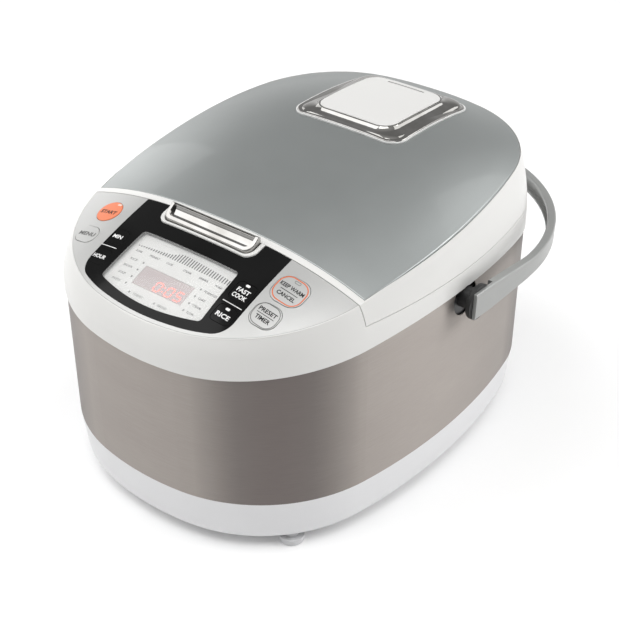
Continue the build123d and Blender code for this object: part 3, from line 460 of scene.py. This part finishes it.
WORDS = [
    ("print_start", "START", -86.5, -130.9, 15.0, 3.3, INK_DARK, KEY_TOP, "key_start", "orange_plastic"),
    ("print_menu", "MENU", -86.0, -153.0, 15.5, 3.3, INK_GREY, KEY_TOP, "key_menu", "silver_paint"),
    ("print_minute", "MIN", -59.0, -148.8, 8.6, 3.0, INK_WHITE, FLUSH_TOP, "key_minute", "gloss_black"),
    ("print_hour", "HOUR", -58.9, -167.0, 11.6, 3.0, INK_WHITE, FLUSH_TOP, "key_hour", "gloss_black"),
    ("print_quick_1", "FAST", 56.0, -147.8, 10.4, 3.3, INK_WHITE, FLUSH_TOP, "key_quick", "gloss_black"),
    ("print_quick_2", "COOK", 56.0, -152.3, 11.4, 3.3, INK_WHITE, FLUSH_TOP, "key_quick", "gloss_black"),
    ("print_rice", "RICE", 56.0, -168.4, 11.0, 3.3, INK_WHITE, FLUSH_TOP, "key_rice", "gloss_black"),
    ("print_keep", "KEEP WARM", 81.4, -129.2, 19.0, 3.0, INK_DARK, KEY_TOP, "key_cancel", "silver_paint"),
    ("print_cancel", "CANCEL", 81.4, -135.9, 14.4, 3.0, INK_DARK, KEY_TOP, "key_cancel", "silver_paint"),
    ("print_preset", "PRESET", 79.8, -151.4, 14.2, 3.0, INK_DARK, KEY_TOP, "key_timer", "silver_paint"),
    ("print_timer", "TIMER", 79.8, -157.2, 11.6, 3.0, INK_DARK, KEY_TOP, "key_timer", "silver_paint"),
]
for name, text, x, y, width, height, mat, lift, body, finish in WORDS:
    lettering(name, text, x, y, width, height, mat, lift, body)

laid("line_left", strip(-66.0, -157.8, -51.4, -157.9, 0.5), INK_WHITE, FLAT, "body")
laid("line_right", strip(48.0, -159.1, 64.0, -159.1, 0.5), INK_WHITE, FLAT, "body")
laid("line_cancel", strip(74.4, -132.6, 88.4, -132.6, 0.45), INK_DARK, KEY_TOP, "key_cancel")
laid("line_timer", strip(73.0, -154.3, 86.6, -154.3, 0.45), INK_DARK, KEY_TOP, "key_timer")
cancel_ring = ring(81.4, -131.4, 22.8, 20.1, 8.0, 0.8)
laid("ring_cancel", cancel_ring, INK_ORANGE, KEY_TOP, "key_cancel")
laid("ring_timer", ring(79.8, -154.2, 18.9, 16.4, 6.8, 0.5), INK_GREY, KEY_TOP, "key_timer")
laid("lamp_cancel", ring(81.8, -123.9, 4.8, 2.1, 1.0, 0.32), INK_GREY, KEY_TOP, "key_cancel")
laid("lamp_quick", [rounded(56.0, -143.3, 3.4, 1.8, 0.8)], INK_WHITE, FLUSH_TOP, "key_quick")
laid("lamp_rice", [rounded(56.0, -163.3, 3.4, 1.8, 0.8)], INK_WHITE, FLUSH_TOP, "key_rice")
laid("lamp_start", [rounded(-83.0, -122.9, 4.0, 1.9, 0.9)], INK_LENS, KEY_TOP, "key_start")

# ------------------------------------------------------------------ display card

CARD = TRAY_DROP + 0.05
TICK_BASE = -147.2


def tick_height(x):
    """Height in mm of the printed scale's bar at x: a slow rise, a step up, then a gentle fall."""
    slow = 0.8 + 2.4 * (x + 40.0) / 33.0
    step = 1 / (1 + math.exp(-(x + 7.0) / 2.0))
    return slow * (1 - step) + (6.9 - 3.1 * (x + 3.0) / 44.0) * step


ticks = []
for i in range(37):
    x = -40.0 + 2.24 * i
    top = TICK_BASE + tick_height(x)
    ticks.append([(x - 0.5, TICK_BASE), (x + 0.5, TICK_BASE), (x + 0.5, top), (x - 0.5, top)])
laid("scale_ticks", ticks, INK_DARK, CARD, "body")

STEPS = (
    (-36.0, "SOAK"), (-21.2, "PREHEAT"), (-7.2, "COOK"),
    (8.7, "STEAM"), (23.6, "SIMMER"), (36.6, "WARM"),
)
for i, (x, word) in enumerate(STEPS):
    lettering(f"step_{i}", word, x, -150.9, 1.1 * len(word) + 1.6, 1.6, INK_GREY, CARD, "body")
ROWS = (-157.7, -163.6, -169.4, -175.0)
BOTTOM_ROW = -179.5
for i, word in enumerate(("RICE", "BROWN", "SOUP", "PASTA")):
    wide = 1.35 * len(word) + 1.2
    lettering(f"left_{i}", word, -34.6, ROWS[i], wide, 1.7, INK_PALE, CARD, "body")
for i, word in enumerate(("PORRIDGE", "CAKE", "STEAM", "SLOW")):
    wide = 1.2 * len(word) + 1.2
    lettering(f"right_{i}", word, 30.4 + wide / 2, ROWS[i], wide, 1.7, INK_GREY, CARD, "body")
for i, (x, word) in enumerate(((-10.0, "YOGURT"), (12.2, "BREAD"))):
    wide = 1.35 * len(word) + 1.2
    lettering(f"bottom_{i}", word, x, BOTTOM_ROW, wide, 1.7, INK_PALE, CARD, "body")
dots = [rounded(x, y, 1.6, 1.6, 0.78, 4) for x in (-25.5, 27.4) for y in ROWS]
dots += [rounded(x, BOTTOM_ROW, 1.6, 1.6, 0.78, 4) for x in (-18.0, 5.2)]
laid("program_dots", dots, INK_PALE, CARD, "body")

SEGMENTS = {"0": "abcdef", "5": "acdfg"}


def digit(x, y, w, h, figure):
    """Seven-segment figure, leaning a little, as strips."""
    lean = 0.10
    spots = {
        "a": (0, h, w, h), "b": (w, h / 2, w, h), "c": (w, 0, w, h / 2), "d": (0, 0, w, 0),
        "e": (0, 0, 0, h / 2), "f": (0, h / 2, 0, h), "g": (0, h / 2, w, h / 2),
    }
    quads = []
    for name in SEGMENTS[figure]:
        x0, y0, x1, y1 = spots[name]
        a = Vector((x + x0 + lean * y0, y + y0))
        b = Vector((x + x1 + lean * y1, y + y1))
        run = (b - a).normalized() * 0.5
        quads += strip(a.x + run.x, a.y + run.y, b.x - run.x, b.y - run.y, 0.95, 2)
    return quads


figures = []
for x, figure in ((-4.2, "0"), (6.2, "0"), (14.6, "5")):
    figures += digit(x, -172.0, 5.0, 6.6, figure)
figures += [rounded(3.6, -170.4, 1.0, 1.0, 0.45, 3), rounded(3.9, -167.2, 1.0, 1.0, 0.45, 3)]
laid("digits", figures, GLOW, DIGIT_DROP + 0.05, "body")

# ------------------------------------------------------------------ stage, light, camera

floor_mat = Maker("floor").set(specular=0.2, emission=(1.0, 1.0, 1.0), glow=0.07)
floor_mat.tint(floor_mat.noise(0.8), (0.93, 0.93, 0.93), (0.95, 0.95, 0.95))
floor_mat.gloss(floor_mat.noise(0.3), 0.55, 0.62)
floor_mesh = bpy.data.meshes.new("floor")
floor_mesh.from_pydata([(-14, -14, 0), (14, -14, 0), (14, 14, 0), (-14, 14, 0)], [], [(0, 1, 2, 3)])
floor_mesh.materials.append(floor_mat.mat)
floor = bpy.data.objects.new("floor", floor_mesh)
bpy.context.scene.collection.objects.link(floor)


def area(name, place, target, size, power, size_y=None, colour=(1, 1, 1)):
    light = bpy.data.lights.new(name, "AREA")
    light.energy = power
    light.color = colour
    light.shape = "RECTANGLE"
    light.size = size
    light.size_y = size_y or size
    holder = bpy.data.objects.new(name, light)
    holder.location = place
    holder.rotation_euler = (Vector(target) - Vector(place)).to_track_quat("-Z", "Y").to_euler()
    bpy.context.scene.collection.objects.link(holder)
    return holder


area("key_top", (0.35, -0.55, 2.5), (0, 0, 0.1), 1.5, 24)
area("side_left", (-1.9, 0.2, 0.75), (0, 0, 0.12), 1.8, 6, 1.0)
area("front_left", (-1.0, -0.84, 1.5), (0, 0, 0.15), 1.5, 14)
area("side_right", (1.6, 1.2, 1.2), (0, 0, 0.1), 1.2, 16, 1.0)
area("rear_top", (0.75, 1.70, 1.9), (0, 0, 0.15), 1.9, 12, 1.3)


def studio_world():
    """Soft studio surround: pale walls, darker behind the camera's corner and overhead."""
    made = bpy.data.worlds.new("studio")
    made.use_nodes = True
    tree = made.node_tree
    place = tree.nodes.new("ShaderNodeTexCoord")
    split = tree.nodes.new("ShaderNodeSeparateXYZ")
    tree.links.new(place.outputs["Generated"], split.inputs[0])
    rise = tree.nodes.new("ShaderNodeValToRGB")
    stops = ((0.0, 0.85), (0.20, 0.70), (0.42, 0.32), (0.75, 0.30), (1.0, 0.60))
    while len(rise.color_ramp.elements) < len(stops):
        rise.color_ramp.elements.new(0.5)
    for element, (spot, value) in zip(rise.color_ramp.elements, stops):
        element.position = spot
        element.color = (value, value, value, 1.0)
    tree.links.new(split.outputs["Z"], rise.inputs["Fac"])
    toward = tree.nodes.new("ShaderNodeVectorMath")
    toward.operation = "DOT_PRODUCT"
    toward.inputs[1].default_value = (0.63, -0.777, 0.0)
    tree.links.new(place.outputs["Generated"], toward.inputs[0])
    dim = tree.nodes.new("ShaderNodeMapRange")
    for name, value in (("From Min", 0.25), ("From Max", 0.95), ("To Min", 1.0), ("To Max", 0.15)):
        dim.inputs[name].default_value = value
    tree.links.new(toward.outputs["Value"], dim.inputs["Value"])
    tree.links.new(rise.outputs["Color"], tree.nodes["Background"].inputs["Color"])
    tree.links.new(dim.outputs["Result"], tree.nodes["Background"].inputs["Strength"])
    return made


bpy.context.scene.world = studio_world()
bpy.context.scene.view_settings.view_transform = "Standard"

AZIMUTH, ELEVATION = math.radians(39.03), math.radians(33.36)
right_axis = Vector((math.cos(AZIMUTH), math.sin(AZIMUTH), 0))
level = math.cos(ELEVATION)
back_axis = Vector((math.sin(AZIMUTH) * level, -math.cos(AZIMUTH) * level, math.sin(ELEVATION)))
up_axis = back_axis.cross(right_axis)
camera_data = bpy.data.cameras.new("camera")
camera_data.lens = 75.08
camera_data.sensor_width = 36.0
camera = bpy.data.objects.new("camera", camera_data)
turn = Matrix((right_axis, up_axis, back_axis)).transposed().to_4x4()
camera.matrix_world = Matrix.Translation((0.53146, -0.66647, 0.6362)) @ turn
bpy.context.scene.collection.objects.link(camera)
bpy.context.scene.camera = camera

bpy.context.view_layer.update()
